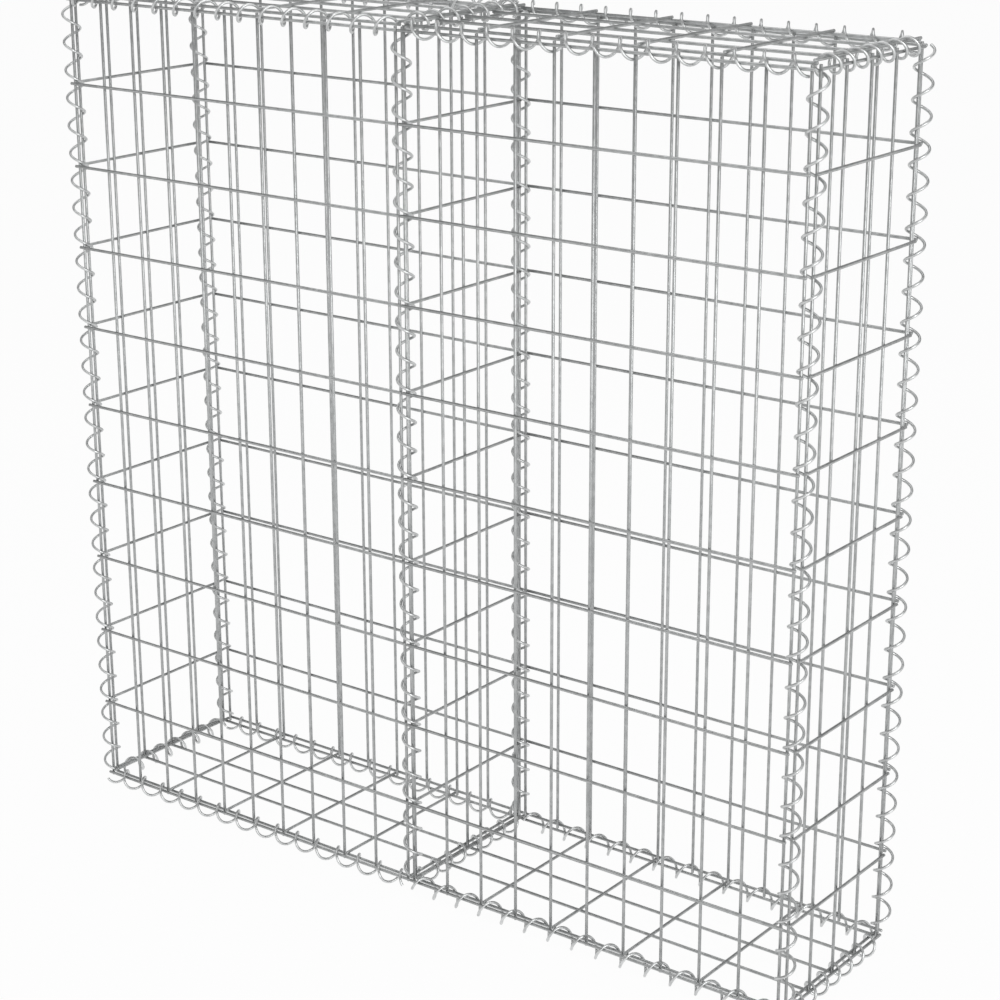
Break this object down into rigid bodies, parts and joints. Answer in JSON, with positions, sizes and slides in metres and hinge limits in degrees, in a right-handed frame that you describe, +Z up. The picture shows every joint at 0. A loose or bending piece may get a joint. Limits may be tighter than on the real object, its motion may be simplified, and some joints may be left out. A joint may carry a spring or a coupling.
{
  "type": "gabion wall basket",
  "caption": "Long thin wall basket of welded galvanised wire mesh, with bays, a divider and lids, laced along every edge by spiral binders; holds stone fill.",
  "frame": {"origin": "on the ground under the middle of the wall, halfway between the front and back faces", "axes": "+X along the wall towards its right end, +Y from the front to the back, +Z up"},
  "size_m": [1.0438, 0.2416, 1.035],
  "materials": {
    "mesh_wire": "galvanised steel wire, pale grey, satin",
    "binder_wire": "galvanised spring wire, pale grey, slightly brighter than the mesh"
  },
  "bodies": {
    "root": {"front_panel_left": "mesh_wire", "front_panel_right": "mesh_wire", "back_panel_left": "mesh_wire", "back_panel_right": "mesh_wire", "end_panel_left": "mesh_wire", "end_panel_right": "mesh_wire", "divider_panel": "mesh_wire", "lid_left": "mesh_wire", "lid_right": "mesh_wire", "base_left": "mesh_wire", "base_right": "mesh_wire", "upright_binder_front_left": "binder_wire", "upright_binder_front_middle": "binder_wire", "upright_binder_front_right": "binder_wire", "upright_binder_back_left": "binder_wire", "upright_binder_back_middle": "binder_wire", "upright_binder_back_right": "binder_wire", "lid_binder_front_left": "binder_wire", "lid_binder_front_right": "binder_wire", "lid_binder_back_left": "binder_wire", "lid_binder_back_right": "binder_wire", "lid_binder_end_left": "binder_wire", "lid_binder_end_right": "binder_wire", "lid_binder_middle": "binder_wire", "base_binder_front_left": "binder_wire", "base_binder_front_right": "binder_wire", "base_binder_back_left": "binder_wire", "base_binder_back_right": "binder_wire", "base_binder_end_left": "binder_wire", "base_binder_end_right": "binder_wire", "base_binder_middle": "binder_wire"}
  },
  "joints": []
}
